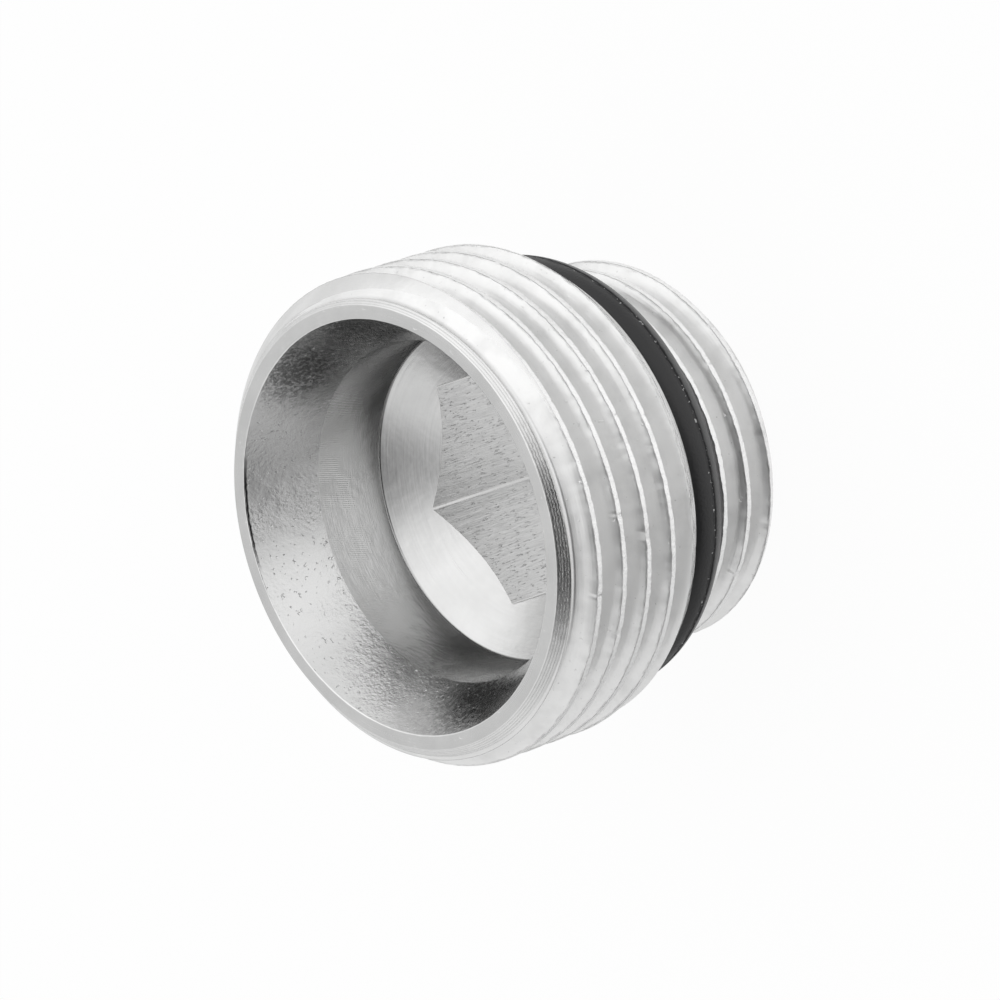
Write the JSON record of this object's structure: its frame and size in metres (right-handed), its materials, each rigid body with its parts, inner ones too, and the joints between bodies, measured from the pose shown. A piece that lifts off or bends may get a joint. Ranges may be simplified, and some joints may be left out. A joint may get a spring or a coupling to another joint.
{
  "type": "pipe nipple",
  "caption": "Short threaded pipe nipple in bright nickel plate, with a coned pipe seat in its large end, a hexagonal key hole and a black sealing ring round its neck.",
  "frame": {"origin": "centre of the small end's face, which the nipple stands on", "axes": "+Z along the nipple's axis, out of the coned mouth; +X through a corner of the hexagonal key hole"},
  "size_m": [0.0264, 0.0264, 0.019],
  "materials": {
    "nickel_plate": "bright nickel plate over turned brass",
    "rubber": "satin black moulded rubber with a fine parting line round its outside"
  },
  "bodies": {
    "root": {"nipple_body": "nickel_plate", "sealing_ring": "rubber"}
  },
  "joints": []
}
